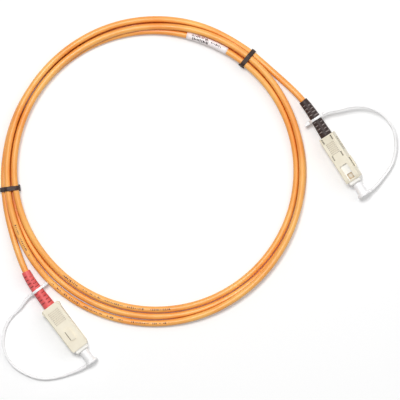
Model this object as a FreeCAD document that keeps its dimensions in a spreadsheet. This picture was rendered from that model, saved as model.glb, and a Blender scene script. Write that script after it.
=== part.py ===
import FreeCAD, Part
import math
import os
import re
import Sketcher
from FreeCAD import Placement, Rotation, Vector

# A simplex fibre test cord: a 3 mm cable wound in a coil, with a push-pull plug at each end.
# Millimetres. The cord lies on the plane Z = 0, the longest side of its box along X.
# Each plug has its own frame: x runs forward along the plug, from the rear face of its housing.

# Driving dimensions
SIZES = {
    "cable_diameter": 3.0,
    "lane_gap": 0.1,
    "coil_radius": 68.4,
    "coil_centre_x": -20.3,
    "coil_centre_y": 12.78,
    "coil_step": 18.0,
    "tie_lift": 0.9,
    "tie_lift_span": 40.0,
    "tie_width": 2.1,
    "tie_thickness": 0.5,
    "tie_gap": 0.1,
    "tie_head_length": 3.0,
    "tie_head_height": 2.2,
    "tie_head_depth": 2.2,
    "label_length": 20.4,
    "label_thickness": 0.2,
    "label_gap": 0.03,
    "label_progress": 472.0,
    "press_gap": 0.02,
    "jacket_end": -0.2,
    "jacket_strip_depth": 5.2,
    "housing_length": 24.3,
    "housing_width": 9.0,
    "housing_height": 7.4,
    "housing_edge_radius": 0.5,
    "housing_rear_wall": 1.5,
    "slide_clearance": 0.15,
    "front_bevel_length": 1.6,
    "front_bevel_depth": 0.6,
    "flare_peak": 1.0,
    "flare_end": 3.4,
    "flare_depth": 0.45,
    "flare_inset": 0.5,
    "window_start": 8.5,
    "window_length": 7.8,
    "window_height": 3.7,
    "rib_pitch": 0.9,
    "groove_width": 0.45,
    "groove_depth": 0.4,
    "wide_rib_start": 2.8,
    "wide_rib_span": 5.6,
    "narrow_rib_start": 3.6,
    "narrow_rib_span": 4.1,
    "key_start": 13.7,
    "key_length": 5.6,
    "key_width": 2.4,
    "key_height": 0.8,
    "slit_start": 0.5,
    "slit_length": 2.4,
    "slit_spacing": 9.1,
    "slit_width": 0.6,
    "slit_offset": 2.35,
    "slit_depth": 0.8,
    "inner_rear": 4.0,
    "inner_length": 22.2,
    "inner_width": 6.6,
    "inner_height": 5.7,
    "inner_edge_bevel": 0.4,
    "nose_bevel": 0.5,
    "nose_bore": 4.8,
    "bulkhead_start": 20.0,
    "bulkhead_length": 1.0,
    "guide_clearance": 0.15,
    "spring_bore": 4.4,
    "latch_pocket_start": 20.4,
    "latch_pocket_length": 2.9,
    "latch_pocket_height": 2.6,
    "latch_pocket_depth": 0.6,
    "ferrule_diameter": 2.5,
    "ferrule_length": 10.5,
    "ferrule_rear": 18.5,
    "ferrule_tip_bevel": 0.4,
    "fibre_diameter": 0.125,
    "fibre_gap": 0.01,
    "buffer_diameter": 0.9,
    "buffer_gap": 0.05,
    "buffer_rear": -3.2,
    "flange_across_flats": 3.6,
    "flange_length": 1.75,
    "flange_gap": 0.05,
    "flange_tail_diameter": 2.9,
    "flange_tail_length": 6.2,
    "spring_diameter": 4.1,
    "spring_wire": 0.45,
    "spring_turns": 5.0,
    "spring_gap": 0.05,
    "stop_ring_front": 9.0,
    "stop_flange_length": 1.4,
    "stop_flange_diameter": 5.2,
    "stop_barrel_diameter": 3.3,
    "stop_bore": 1.2,
    "crimp_front": 2.4,
    "crimp_rear": -3.5,
    "crimp_diameter": 4.3,
    "crimp_tail_diameter": 3.8,
    "crimp_gap": 0.05,
    "boot_front": 2.4,
    "boot_rear": -19.8,
    "boot_rear_diameter": 4.2,
    "boot_taper_start": -1.0,
    "boot_cable_gap": 0.05,
    "boot_crimp_gap": 0.15,
    "boot_step": -3.7,
    "slot_width": 0.45,
    "slot_pitch": 0.9,
    "front_slot_start": -1.5,
    "front_slot_bridge": 4.4,
    "rear_slot_start": -10.9,
    "rear_slot_bridge": 3.5,
    "ring_centre": -9.4,
    "ring_thickness": 1.2,
    "ring_gap": 0.07,
    "ring_diameter": 7.0,
    "ring_tab_reach": 6.0,
    "ring_tab_height": 2.4,
    "cap_mouth": 21.6,
    "cap_barrel_diameter": 4.4,
    "cap_fit_gap": 0.05,
    "cap_bore_end": 30.0,
    "cap_disc_start": 32.0,
    "cap_disc_thickness": 1.3,
    "cap_disc_diameter": 6.4,
    "cap_edge_bevel": 0.25,
    "strap_thickness": 1.2,
    "strap_height": 2.6,
    "strap_root": 0.4,
    "strap_gap": 0.05,
    "strap_lead": 2.4,
}

# Counts of what repeats along a plug
WIDE_RIBS = 8
NARROW_RIBS = 7
SLIT_ROWS = 2
FRONT_SLOTS = 4
REAR_SLOTS = 4
WIRE_SIDES = 6

# Where each plug lies: bearing of its housing's rear face from the coil's centre, distance outside the
# coil's radius, heading and roll about its axis.
# The boot, the ring and the cap have rolls of their own. The strap leaves the ring and the cap along their
# local -y.
PLUGS = {
    "red": {"bearing": -127.9598, "outside": 12.1386, "heading": -52.8, "roll": 0.0,
            "boot_roll": 45.0, "ring_roll": 10.0, "cap_roll": 10.0},
    "black": {"bearing": 11.6166, "outside": 13.782, "heading": -57.5, "roll": -78.0,
              "boot_roll": 45.0, "ring_roll": 190.0, "cap_roll": 170.0},
}

# Lanes of the coil: progress in degrees, outward offset and height in lane pitches.
# Progress 0 is at the left of the coil and grows clockwise, seen from above.
LANES = (
    (0, 0.75, 0), (90, 0.2, 0), (115, -0.2, 0), (129, -0.25, 0), (180, 0.5, 0), (270, 0, 0), (315, 0, 0),
    (353, -0.25, 0), (398, -0.6, 0), (450, -1.15, 0), (464, -1.2, 0.3), (482, -1.05, 0.74), (491, -0.8, 0.9),
    (510, -0.72, 0.76), (530, -0.62, 0.38), (548, -0.56, 0), (630, -1.03, 0), (672, -1.05, 0.1),
    (690, -1.0, 0.52), (702, -0.88, 0.78), (713, -0.75, 0.9), (724, -0.72, 0.98), (740, -0.68, 1.02),
    (760, -0.6, 1.03), (810, -0.2, 1.02), (832, 0.15, 0.98), (849, 0.25, 0.9), (866, 0.24, 1.0),
    (884, 0.22, 1.04), (905, 0.25, 1.0), (945, 0.6, 1.03), (960, 0.78, 0.88), (975, 0.97, 0.55),
    (990, 1.08, 0), (1032, 1.12, 0.05), (1048, 0.86, 0.52), (1062, 0.5, 0.8), (1073, 0.27, 0.92),
    (1100, 0.4, 1.03), (1118, 0.48, 1.06), (1135, 0.62, 1.02), (1150, 0.8, 0.94), (1170, 0.92, 0.82),
    (1183, 1.0, 0.64), (1196, 1.0, 0.2), (1206, 0.85, 0),
)
TIES = {"tie_left": -7.0, "tie_top": 129.4}

# Hand-placed points between the coil and the straight stretch in each boot:
# bearing from the coil's centre, distance outside the coil's radius, height
RED_TAIL = ((-155.5, 5.34, 2.9), (-166.1, 3.95, 2.3))
BLACK_TAIL = ((40.7835, 3.9206, 2.4),)
STRAIGHT_REACH = -25.4

# Hand-placed points of each strap between the leads at its ring and its cap:
# distance along the plug's axis from the housing's rear face, distance to the left of it, height
STRAPS = {
    "red": ((-7.57, -11.11, 1.9), (-7.17, -17.2, 1.4), (-4.52, -23.47, 1.3), (1.71, -29.33, 1.3),
            (10.11, -31.32, 1.3), (18.33, -28.76, 1.3), (25.3, -23.88, 1.3), (29.48, -16.39, 1.35),
            (31.48, -10.12, 1.9)),
    "black": ((-7.35, 11.0, 7.2), (-5.2, 17.82, 7.6), (-1.19, 23.56, 7.3), (5.58, 27.67, 6.2),
              (13.85, 28.56, 4.9), (21.52, 25.34, 3.6), (28.08, 19.26, 2.9), (31.02, 11.58, 3.2)),
}

doc = FreeCAD.newDocument("FibreTestCord")
sheet = doc.addObject("Spreadsheet::Sheet", "Sizes")
for row, (name, value) in enumerate(SIZES.items(), start=1):
    sheet.set(f"A{row}", name)
    sheet.set(f"B{row}", str(value))
    sheet.setAlias(f"B{row}", name)
doc.recompute()

parts = []


def size(name):
    """The value of one cell of the sheet."""
    return float(sheet.get(name))


def formula(text):
    """An expression in which each size is read from the sheet."""
    def cell(match):
        word = match.group()
        return f"Sizes.{word}" if word in SIZES else word
    return re.sub(r"[a-z_]+", cell, text)


# Sketch and feature helpers
def new_body(label):
    body = doc.addObject("PartDesign::Body", label)
    body.Label = label
    parts.append(body)
    return body


def origin_feature(body, role):
    return next(item for item in body.Origin.OriginFeatures if item.Role == role)


def new_sketch(body, plane, offset="0"):
    """A sketch on an origin plane, moved along its normal by a formula."""
    sketch = body.newObject("Sketcher::SketchObject", "Sketch")
    sketch.AttachmentSupport = [(origin_feature(body, plane), "")]
    sketch.MapMode = "FlatFace"
    if offset != "0":
        sketch.setExpression("AttachmentOffset.Base.z", formula(offset))
    return sketch


def fix_point(sketch, line, x_text, y_text):
    """Hold the start of a line at a place given by two formulas."""
    for kind, axis, text in (("DistanceX", -2, x_text), ("DistanceY", -1, y_text)):
        if text == "0":
            sketch.addConstraint(Sketcher.Constraint("PointOnObject", line, 1, axis))
        else:
            index = sketch.addConstraint(Sketcher.Constraint(kind, -1, 1, line, 1, 1.0))
            sketch.setExpression(f"Constraints[{index}]", formula(text))


def add_outline(sketch, points):
    """A closed outline of straight lines through points given as pairs of formulas."""
    first = sketch.GeometryCount
    count = len(points)
    ring = []
    for index in range(count):
        angle = 2 * math.pi * index / count
        ring.append(Vector(math.cos(angle), math.sin(angle), 0))
    for index in range(count):
        sketch.addGeometry(Part.LineSegment(ring[index], ring[(index + 1) % count]), False)
    for index in range(count):
        after = first + (index + 1) % count
        sketch.addConstraint(Sketcher.Constraint("Coincident", first + index, 2, after, 1))
    for index, (x_text, y_text) in enumerate(points):
        fix_point(sketch, first + index, x_text, y_text)


def add_rectangle(sketch, left, right, low, high):
    add_outline(sketch, ((left, low), (right, low), (right, high), (left, high)))


def add_circle(sketch, diameter):
    circle = sketch.addGeometry(Part.Circle(Vector(0, 0, 0), Vector(0, 0, 1), 1.0), False)
    sketch.addConstraint(Sketcher.Constraint("Coincident", circle, 3, -1, 1))
    index = sketch.addConstraint(Sketcher.Constraint("Diameter", circle, 1.0))
    sketch.setExpression(f"Constraints[{index}]", formula(diameter))


def pad(body, sketch, length, symmetric=False):
    feature = body.newObject("PartDesign::Pad", "Pad")
    feature.Profile = sketch
    feature.SideType = "Symmetric" if symmetric else "One side"
    feature.setExpression("Length", formula(length))
    return feature


def cut(body, sketch, length, symmetric=False):
    """Cut along the sketch's normal, or to both sides of its plane."""
    feature = body.newObject("PartDesign::Pocket", "Pocket")
    feature.Profile = sketch
    feature.Reversed = True
    feature.SideType = "Symmetric" if symmetric else "One side"
    feature.setExpression("Length", formula(length))
    return feature


def repeat_along_x(body, feature, count, spacing, backward=False):
    pattern = body.newObject("PartDesign::LinearPattern", "Pattern")
    pattern.Originals = [feature]
    pattern.Direction = (origin_feature(body, "X_Axis"), [""])
    pattern.Reversed = backward
    pattern.Mode = "Spacing"
    pattern.setExpression("Offset", formula(spacing))
    pattern.Occurrences = count
    body.Tip = pattern
    return pattern


def turn(body, points):
    """A solid of revolution about the plug's axis from an outline of (x, radius) formulas."""
    sketch = new_sketch(body, "XY_Plane")
    add_outline(sketch, points)
    feature = body.newObject("PartDesign::Revolution", "Revolution")
    feature.Profile = sketch
    feature.ReferenceAxis = (sketch, ["H_Axis"])
    return feature


def edge_names(shape, test):
    return [f"Edge{number}" for number, edge in enumerate(shape.Edges, start=1) if test(edge)]


def runs_along_x(edge):
    ends = edge.Vertexes
    return len(ends) == 2 and abs(abs(ends[1].X - ends[0].X) - edge.Length) < 1e-6


def dress(body, kind, base, size_name, formula_text, test):
    """A fillet or chamfer on the edges of a feature that pass a test."""
    doc.recompute()
    feature = body.newObject(f"PartDesign::{kind}", kind)
    feature.Base = (base, edge_names(base.Shape, test))
    feature.setExpression(size_name, formula(formula_text))
    return feature


# Plug pieces, each in the plug's own frame
def make_outer_housing(label):
    body = new_body(label)
    block = new_sketch(body, "YZ_Plane")
    add_rectangle(block, "-housing_width / 2", "housing_width / 2",
                  "-housing_height / 2", "housing_height / 2")
    shell = pad(body, block, "housing_length")
    dress(body, "Fillet", shell, "Radius", "housing_edge_radius", runs_along_x)

    grip_side = "(housing_width / 2 + flare_depth)"
    flares = new_sketch(body, "XY_Plane")
    rear_bevels = new_sketch(body, "XY_Plane")
    for sign in ("-1", "1"):
        inset = f"{sign} * (housing_width / 2 - flare_inset)"
        peak = f"{sign} * {grip_side}"
        add_outline(flares, (("0", inset), ("flare_peak", peak), ("flare_end", f"{sign} * housing_width / 2"),
                             ("flare_end", inset)))
        add_outline(rear_bevels, (("0", inset), ("flare_peak", peak), ("0", peak)))
    pad(body, flares, "housing_height - 2 * housing_edge_radius", symmetric=True)
    cut(body, rear_bevels, "2 * housing_height", symmetric=True)

    cavity = new_sketch(body, "YZ_Plane", "housing_rear_wall")
    cavity_y = "inner_width / 2 + slide_clearance"
    cavity_z = "inner_height / 2 + slide_clearance"
    add_rectangle(cavity, f"-({cavity_y})", cavity_y, f"-({cavity_z})", cavity_z)
    cut(body, cavity, "housing_length")
    rear_hole = new_sketch(body, "YZ_Plane")
    add_circle(rear_hole, "inner_height + 2 * slide_clearance")
    cut(body, rear_hole, "housing_rear_wall")

    windows = new_sketch(body, "XZ_Plane")
    window_rear = "housing_length - window_start"
    add_rectangle(windows, window_rear, f"{window_rear} + window_length",
                  "-window_height / 2", "window_height / 2")
    cut(body, windows, "2 * housing_width", symmetric=True)

    bevels = new_sketch(body, "XY_Plane")
    for sign in ("-1", "1"):
        side = f"{sign} * housing_width / 2"
        inset = f"{sign} * (housing_width / 2 - front_bevel_depth)"
        add_outline(bevels, (("housing_length - front_bevel_length", side), ("housing_length", inset),
                             ("housing_length", side)))
    cut(body, bevels, "2 * housing_height", symmetric=True)

    wide_groove = new_sketch(body, "XZ_Plane")
    for sign in ("-1", "1"):
        add_rectangle(wide_groove, "wide_rib_start", "wide_rib_start + groove_width",
                      f"{sign} * (housing_height / 2 - groove_depth)", f"{sign} * housing_height / 2")
    groove = cut(body, wide_groove, "wide_rib_span", symmetric=True)
    repeat_along_x(body, groove, WIDE_RIBS, "rib_pitch")

    narrow_groove = new_sketch(body, "XY_Plane")
    for sign in ("-1", "1"):
        add_rectangle(narrow_groove, "narrow_rib_start", "narrow_rib_start + groove_width",
                      f"{sign} * (housing_width / 2 - groove_depth)", f"{sign} * {grip_side}")
    groove = cut(body, narrow_groove, "narrow_rib_span", symmetric=True)
    repeat_along_x(body, groove, NARROW_RIBS, "rib_pitch")

    slits = new_sketch(body, "YZ_Plane", "slit_start")
    for side in ("-1", "1"):
        for level in ("-1", "1"):
            add_rectangle(slits, f"{side} * (housing_width / 2 - slit_depth)", f"{side} * {grip_side}",
                          f"{level} * slit_offset - slit_width / 2",
                          f"{level} * slit_offset + slit_width / 2")
    slit = cut(body, slits, "slit_length")
    repeat_along_x(body, slit, SLIT_ROWS, "slit_spacing")

    key = new_sketch(body, "XY_Plane", "housing_height / 2")
    add_rectangle(key, "key_start", "key_start + key_length", "-key_width / 2", "key_width / 2")
    body.Tip = pad(body, key, "key_height")
    return body


def make_inner_body(label):
    body = new_body(label)
    block = new_sketch(body, "YZ_Plane", "inner_rear")
    add_rectangle(block, "-inner_width / 2", "inner_width / 2", "-inner_height / 2", "inner_height / 2")
    frame = pad(body, block, "inner_length")
    bevelled = dress(body, "Chamfer", frame, "Size", "inner_edge_bevel", runs_along_x)
    front = size("inner_rear") + size("inner_length")

    def on_nose(edge):
        return all(abs(end.X - front) < 1e-6 for end in edge.Vertexes)
    dress(body, "Chamfer", bevelled, "Size", "nose_bevel", on_nose)

    for start, length, diameter in (
            ("bulkhead_start + bulkhead_length", "inner_length", "nose_bore"),
            ("inner_rear", "bulkhead_start - inner_rear", "spring_bore"),
            ("inner_rear", "inner_length", "ferrule_diameter + 2 * guide_clearance")):
        bore = new_sketch(body, "YZ_Plane", start)
        add_circle(bore, diameter)
        cut(body, bore, length)

    pockets = new_sketch(body, "YZ_Plane", "latch_pocket_start")
    for sign in ("-1", "1"):
        add_rectangle(pockets, f"{sign} * (inner_width / 2 - latch_pocket_depth)",
                      f"{sign} * inner_width / 2", "-latch_pocket_height / 2", "latch_pocket_height / 2")
    cut(body, pockets, "latch_pocket_length")
    return body


def make_ferrule(label):
    body = new_body(label)
    front = "ferrule_rear + ferrule_length"
    bore = "fibre_diameter / 2 + fibre_gap"
    turn(body, (("ferrule_rear", bore), (front, bore),
                (front, "ferrule_diameter / 2 - ferrule_tip_bevel"),
                (f"{front} - ferrule_tip_bevel", "ferrule_diameter / 2"),
                ("ferrule_rear", "ferrule_diameter / 2")))
    return body


def make_ferrule_flange(label):
    body = new_body(label)
    front = "bulkhead_start - flange_gap"
    tail_start = f"{front} - flange_length - flange_tail_length"
    seat = "ferrule_diameter / 2 + press_gap"
    bore = "buffer_diameter / 2 + buffer_gap"
    head = new_sketch(body, "YZ_Plane", f"{front} - flange_length")
    corners = []
    for corner in range(6):
        angle = math.radians(60 * corner)
        reach = f"flange_across_flats / 2 / {math.cos(math.radians(30)):.6f}"
        corners.append((f"{math.cos(angle):.6f} * {reach}",
                        "0" if corner % 3 == 0 else f"{math.sin(angle):.6f} * {reach}"))
    add_outline(head, corners)
    pad(body, head, "flange_length")
    turn(body, ((tail_start, "0"), (f"{front} - flange_length / 2", "0"),
                (f"{front} - flange_length / 2", "flange_tail_diameter / 2"),
                (tail_start, "flange_tail_diameter / 2")))
    for start, diameter in (("ferrule_rear - press_gap", f"2 * ({seat})"), (tail_start, f"2 * ({bore})")):
        hole = new_sketch(body, "YZ_Plane", start)
        add_circle(hole, diameter)
        cut(body, hole, "2 * (flange_length + flange_tail_length)")
    return body


def make_spring(label):
    """A helix of wire between the stop ring and the ferrule's flange."""
    start = formula("stop_ring_front + spring_gap + spring_wire / 2")
    helix = doc.addObject("Part::Helix", f"{label}_path")
    helix.setExpression("Radius", formula("(spring_diameter - spring_wire) / 2"))
    height = "bulkhead_start - flange_gap - flange_length - stop_ring_front - 2 * spring_gap - spring_wire"
    helix.setExpression("Height", formula(height))
    helix.setExpression("Pitch", formula(f"({height}) / spring_turns"))
    wire = doc.addObject("Part::RegularPolygon", f"{label}_wire")
    wire.Polygon = WIRE_SIDES
    wire.setExpression("Circumradius", formula("spring_wire / 2"))
    wire.setExpression("Placement.Base.x", formula("(spring_diameter - spring_wire) / 2"))
    wire.Placement.Rotation = Rotation(Vector(1, 0, 0), 90)
    coil = doc.addObject("Part::Sweep", f"{label}_coil")
    coil.Sections = [wire]
    coil.Spine = (helix, [])
    coil.Solid = True
    coil.Frenet = True
    coil.Placement = Placement(Vector(0, 0, 0), Rotation(Vector(0, 1, 0), 90))
    coil.setExpression("Placement.Base.x", start)
    moved = doc.addObject("Part::Compound", label)
    moved.Label = label
    moved.Links = [coil]
    parts.append(moved)
    return moved


def make_stop_ring(label):
    body = new_body(label)
    flange_front = "inner_rear - press_gap"
    flange_rear = "inner_rear - stop_flange_length"
    nose = "spring_bore / 2 - press_gap"
    turn(body, (("0", "stop_bore / 2"), ("stop_ring_front", "stop_bore / 2"), ("stop_ring_front", nose),
                (flange_front, nose), (flange_front, "stop_flange_diameter / 2"),
                (flange_rear, "stop_flange_diameter / 2"), (flange_rear, "stop_barrel_diameter / 2"),
                ("0", "stop_barrel_diameter / 2")))
    return body


def make_crimp_sleeve(label):
    body = new_body(label)
    tail_inside = "cable_diameter / 2 + press_gap"
    barrel_inside = "stop_barrel_diameter / 2 + crimp_gap"
    step = "jacket_end / 2"
    outer_step = f"{step} - crimp_gap"
    turn(body, (("crimp_rear", tail_inside), (step, tail_inside), (step, barrel_inside),
                ("crimp_front", barrel_inside), ("crimp_front", "crimp_diameter / 2"),
                (outer_step, "crimp_diameter / 2"), (outer_step, "crimp_tail_diameter / 2"),
                ("crimp_rear", "crimp_tail_diameter / 2")))
    return body


def make_boot(label):
    """A tapered sleeve that bends at two groups of slots, staggered by a quarter turn.

    Its collar is as tall as the inner body, so that the housing slides back over both.
    """
    body = new_body(label)
    cable_bore = "cable_diameter / 2 + boot_cable_gap"
    tail_bore = "crimp_tail_diameter / 2 + boot_crimp_gap"
    crimp_bore = "crimp_diameter / 2 + boot_crimp_gap"
    shoulder = "jacket_end / 2 - crimp_gap - boot_crimp_gap"
    turn(body, (("boot_rear", cable_bore), ("boot_step", cable_bore), ("boot_step", tail_bore),
                (shoulder, tail_bore), (shoulder, crimp_bore), ("boot_front", crimp_bore),
                ("boot_front", "inner_height / 2"), ("boot_taper_start", "inner_height / 2"),
                ("boot_rear", "boot_rear_diameter / 2")))
    for start, bridge, count in (("front_slot_start", "front_slot_bridge", FRONT_SLOTS),
                                 ("rear_slot_start", "rear_slot_bridge", REAR_SLOTS)):
        for row, plane in enumerate(("XY_Plane", "XZ_Plane")):
            slots = new_sketch(body, plane)
            left = f"{start} - {row} * slot_pitch"
            for sign in ("-1", "1"):
                add_rectangle(slots, f"{left} - slot_width", left,
                              f"{sign} * {bridge} / 2", f"{sign} * inner_height")
            slot = cut(body, slots, "2 * inner_height", symmetric=True)
            repeat_along_x(body, slot, count, "2 * slot_pitch", backward=True)
    return body


def make_tether_ring(label):
    """The eyelet on the boot, with a pull tab on the far side and a root for the strap."""
    body = new_body(label)
    rear = "ring_centre - ring_thickness / 2"
    disc = new_sketch(body, "YZ_Plane", rear)
    add_circle(disc, "ring_diameter")
    pad(body, disc, "ring_thickness")
    arms = new_sketch(body, "YZ_Plane", rear)
    add_rectangle(arms, "0", "ring_tab_reach", "-ring_tab_height / 2", "ring_tab_height / 2")
    pad(body, arms, "ring_thickness")
    root = new_sketch(body, "YZ_Plane", rear)
    add_rectangle(root, "-(ring_diameter / 2 + strap_root)", "0", "-strap_height / 2", "strap_height / 2")
    pad(body, root, "ring_thickness")
    hole = new_sketch(body, "YZ_Plane", rear)
    slope = "(inner_height - boot_rear_diameter) / (boot_taper_start - boot_rear)"
    add_circle(hole, f"inner_height - {slope} * (boot_taper_start - ring_centre - ring_thickness / 2)"
                     " + 2 * ring_gap")
    cut(body, hole, "2 * ring_thickness")
    return body


def make_dust_cap(label):
    body = new_body(label)
    bore = "ferrule_diameter / 2 + cap_fit_gap"
    end = "cap_disc_start + cap_disc_thickness"
    turned = turn(body, (("cap_mouth", bore), ("cap_bore_end", bore), ("cap_bore_end", "0"), (end, "0"),
                         (end, "cap_disc_diameter / 2"), ("cap_disc_start", "cap_disc_diameter / 2"),
                         ("cap_disc_start", "cap_barrel_diameter / 2"),
                         ("cap_mouth", "cap_barrel_diameter / 2")))
    rim = size("cap_disc_diameter") / 2

    def on_rim(edge):
        return isinstance(edge.Curve, Part.Circle) and abs(edge.Curve.Radius - rim) < 1e-6
    dress(body, "Chamfer", turned, "Size", "cap_edge_bevel", on_rim)
    root = new_sketch(body, "YZ_Plane", "cap_disc_start + cap_disc_thickness / 2 - strap_thickness / 2")
    add_rectangle(root, "-(cap_disc_diameter / 2 + strap_root)", "0", "-strap_height / 2", "strap_height / 2")
    pad(body, root, "strap_thickness")
    return body


def make_buffered_fibre(label):
    body = new_body(label)
    shoulder = "ferrule_rear - press_gap - buffer_gap"
    tip = "ferrule_rear + ferrule_length"
    turn(body, (("buffer_rear", "0"), (tip, "0"), (tip, "fibre_diameter / 2"),
                (shoulder, "fibre_diameter / 2"), (shoulder, "buffer_diameter / 2"),
                ("buffer_rear", "buffer_diameter / 2")))
    return body


# Where a plug lies
def axis_height(plug):
    """The height of a plug's axis when its rolled housing rests on its lowest edge or on its flare."""
    roll = math.radians(plug["roll"])
    radius = size("housing_edge_radius")
    lean = abs(math.sin(roll))
    upright = (size("housing_height") / 2 - radius) * abs(math.cos(roll))
    edge = (size("housing_width") / 2 - radius) * lean + radius
    flare = (size("housing_width") / 2 + size("flare_depth")) * lean
    return upright + max(edge, flare)


def beside_coil(bearing, outside, height):
    """A place given from the coil's centre and radius."""
    angle = math.radians(bearing)
    reach = size("coil_radius") + outside
    return Vector(size("coil_centre_x") + reach * math.cos(angle),
                  size("coil_centre_y") + reach * math.sin(angle), height)


def plug_placement(plug, roll):
    place = beside_coil(plug["bearing"], plug["outside"], axis_height(plug))
    turn_about_z = Rotation(Vector(0, 0, 1), plug["heading"])
    return Placement(place, turn_about_z * Rotation(Vector(1, 0, 0), roll))


PLUG_PIECES = {
    "outer_housing": make_outer_housing,
    "inner_body": make_inner_body,
    "ferrule": make_ferrule,
    "ferrule_flange": make_ferrule_flange,
    "spring": make_spring,
    "stop_ring": make_stop_ring,
    "crimp_sleeve": make_crimp_sleeve,
    "buffered_fibre": make_buffered_fibre,
}

for colour, plug in PLUGS.items():
    for piece, make in PLUG_PIECES.items():
        make(f"{piece}_{colour}").Placement = plug_placement(plug, plug["roll"])
    make_boot(f"boot_{colour}").Placement = plug_placement(plug, plug["boot_roll"])
    make_tether_ring(f"tether_ring_{colour}").Placement = plug_placement(plug, plug["ring_roll"])
    make_dust_cap(f"dust_cap_{colour}").Placement = plug_placement(plug, plug["cap_roll"])


# The cable's route
def lane_at(progress):
    """Outward offset and height of the coil's lane, in pitches."""
    for (start, offset, height), (end, next_offset, next_height) in zip(LANES, LANES[1:]):
        if start <= progress <= end:
            share = (progress - start) / (end - start)
            return offset + (next_offset - offset) * share, height + (next_height - height) * share
    return LANES[-1][1:]


def lift_at(progress):
    """How far the bundle stands off the floor on the ties that pass under it."""
    away = min(abs((progress - tie + 180) % 360 - 180) for tie in TIES.values())
    return size("tie_lift") * max(0.0, 1 - away / size("tie_lift_span"))


def coil_point(progress):
    pitch = size("cable_diameter") + size("lane_gap")
    offset, height = lane_at(progress)
    reach = (size("coil_radius") + offset * pitch) / math.cos(math.radians(size("coil_step") / 2))
    angle = math.radians(180 - progress)
    return Vector(size("coil_centre_x") + reach * math.cos(angle),
                  size("coil_centre_y") + reach * math.sin(angle),
                  size("cable_diameter") / 2 + height * pitch + lift_at(progress))


def along_plug(colour, x):
    plug = PLUGS[colour]
    return plug_placement(plug, 0.0).multVec(Vector(x, 0, 0))


def cable_route():
    last = LANES[-1][0]
    stations = int(last / size("coil_step")) + 1
    points = [along_plug("red", size("jacket_end")), along_plug("red", STRAIGHT_REACH)]
    points += [beside_coil(*point) for point in RED_TAIL]
    points += [coil_point(station * size("coil_step")) for station in range(stations)]
    points += [beside_coil(*point) for point in BLACK_TAIL]
    points += [along_plug("black", STRAIGHT_REACH), along_plug("black", size("jacket_end"))]
    return points


def rounded_wire(points, name):
    """Straight runs joined by tangent arcs as large as the runs allow."""
    share = 0.45
    edges = []
    radii = []
    start = points[0]
    for before, corner, after in zip(points, points[1:], points[2:]):
        back = before - corner
        ahead = after - corner
        trim = share * min(back.Length, ahead.Length)
        half_turn = (math.pi - back.getAngle(ahead)) / 2
        radius = trim / math.tan(half_turn)
        radii.append(radius)
        back.normalize()
        ahead.normalize()
        inward = back + ahead
        inward.normalize()
        enter = corner + back * trim
        leave = corner + ahead * trim
        middle = corner + inward * (radius / math.cos(half_turn) - radius)
        edges.append(Part.LineSegment(start, enter).toShape())
        edges.append(Part.Arc(enter, middle, leave).toShape())
        start = leave
    edges.append(Part.LineSegment(start, points[-1]).toShape())
    print(name, "radii", " ".join(f"{radius:.0f}" for radius in radii))
    return Part.Wire(edges)


def add_shape(label, shape):
    feature = doc.addObject("Part::Feature", label)
    feature.Label = label
    feature.Shape = shape
    parts.append(feature)
    return feature


def round_section(centre, direction, radius):
    return Part.Wire(Part.Circle(centre, direction, radius).toShape())


def swept(path, outline):
    """A closed tube of one outline along a path."""
    return path.makePipe(Part.Face(outline))


def compare_volume(name, shape, area, length):
    print(f"{name} length {length:.1f} volume {shape.Volume:.1f} section by length {area * length:.1f}")


route = cable_route()
cable_path = rounded_wire(route, "cable")
cable_radius = size("cable_diameter") / 2
cable_shape = swept(cable_path, round_section(route[0], route[1] - route[0], cable_radius))
compare_volume("cable", cable_shape, math.pi * cable_radius ** 2, cable_path.Length)
for end, inner in ((route[0], route[1]), (route[-1], route[-2])):
    strip_radius = size("buffer_diameter") / 2 + 2 * size("buffer_gap")
    strip = Part.makeCylinder(strip_radius, size("jacket_strip_depth"), end, inner - end)
    cable_shape = cable_shape.cut(strip)
add_shape("cable", cable_shape)


# The wrap label on the inner strand
def path_near(progress, length):
    """The stretch of the cable's path centred on a station of the coil."""
    target = coil_point(progress)
    samples = cable_path.discretize(Distance=0.5)
    middle = min(range(len(samples)), key=lambda index: (samples[index] - target).Length)
    step = cable_path.Length / (len(samples) - 1)
    low = middle * step - length / 2
    high = middle * step + length / 2
    edges = []
    covered = 0.0
    for edge in cable_path.OrderedEdges:
        first = max(low, covered)
        last = min(high, covered + edge.Length)
        if last - first > 1e-3:
            pace = (edge.LastParameter - edge.FirstParameter) / edge.Length
            begin = edge.FirstParameter + (first - covered) * pace
            finish = edge.FirstParameter + (last - covered) * pace
            edges.append(edge.Curve.toShape(begin, finish))
        covered += edge.Length
    return Part.Wire(edges)


label_path = path_near(size("label_progress"), size("label_length"))
label_edge = label_path.OrderedEdges[0]
label_start = label_path.OrderedVertexes[0].Point
label_heading = label_edge.tangentAt(label_edge.FirstParameter)
label_inside = cable_radius + size("label_gap")
label_outside = label_inside + size("label_thickness")
label_shape = swept(label_path, round_section(label_start, label_heading, label_outside)).cut(
    swept(label_path, round_section(label_start, label_heading, label_inside)))
add_shape("label_sleeve", label_shape)


# The ties round the bundle
def centred_slab(outline, travel):
    slab = Part.Face(outline).extrude(travel)
    slab.translate(travel * -0.5)
    return slab


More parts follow.
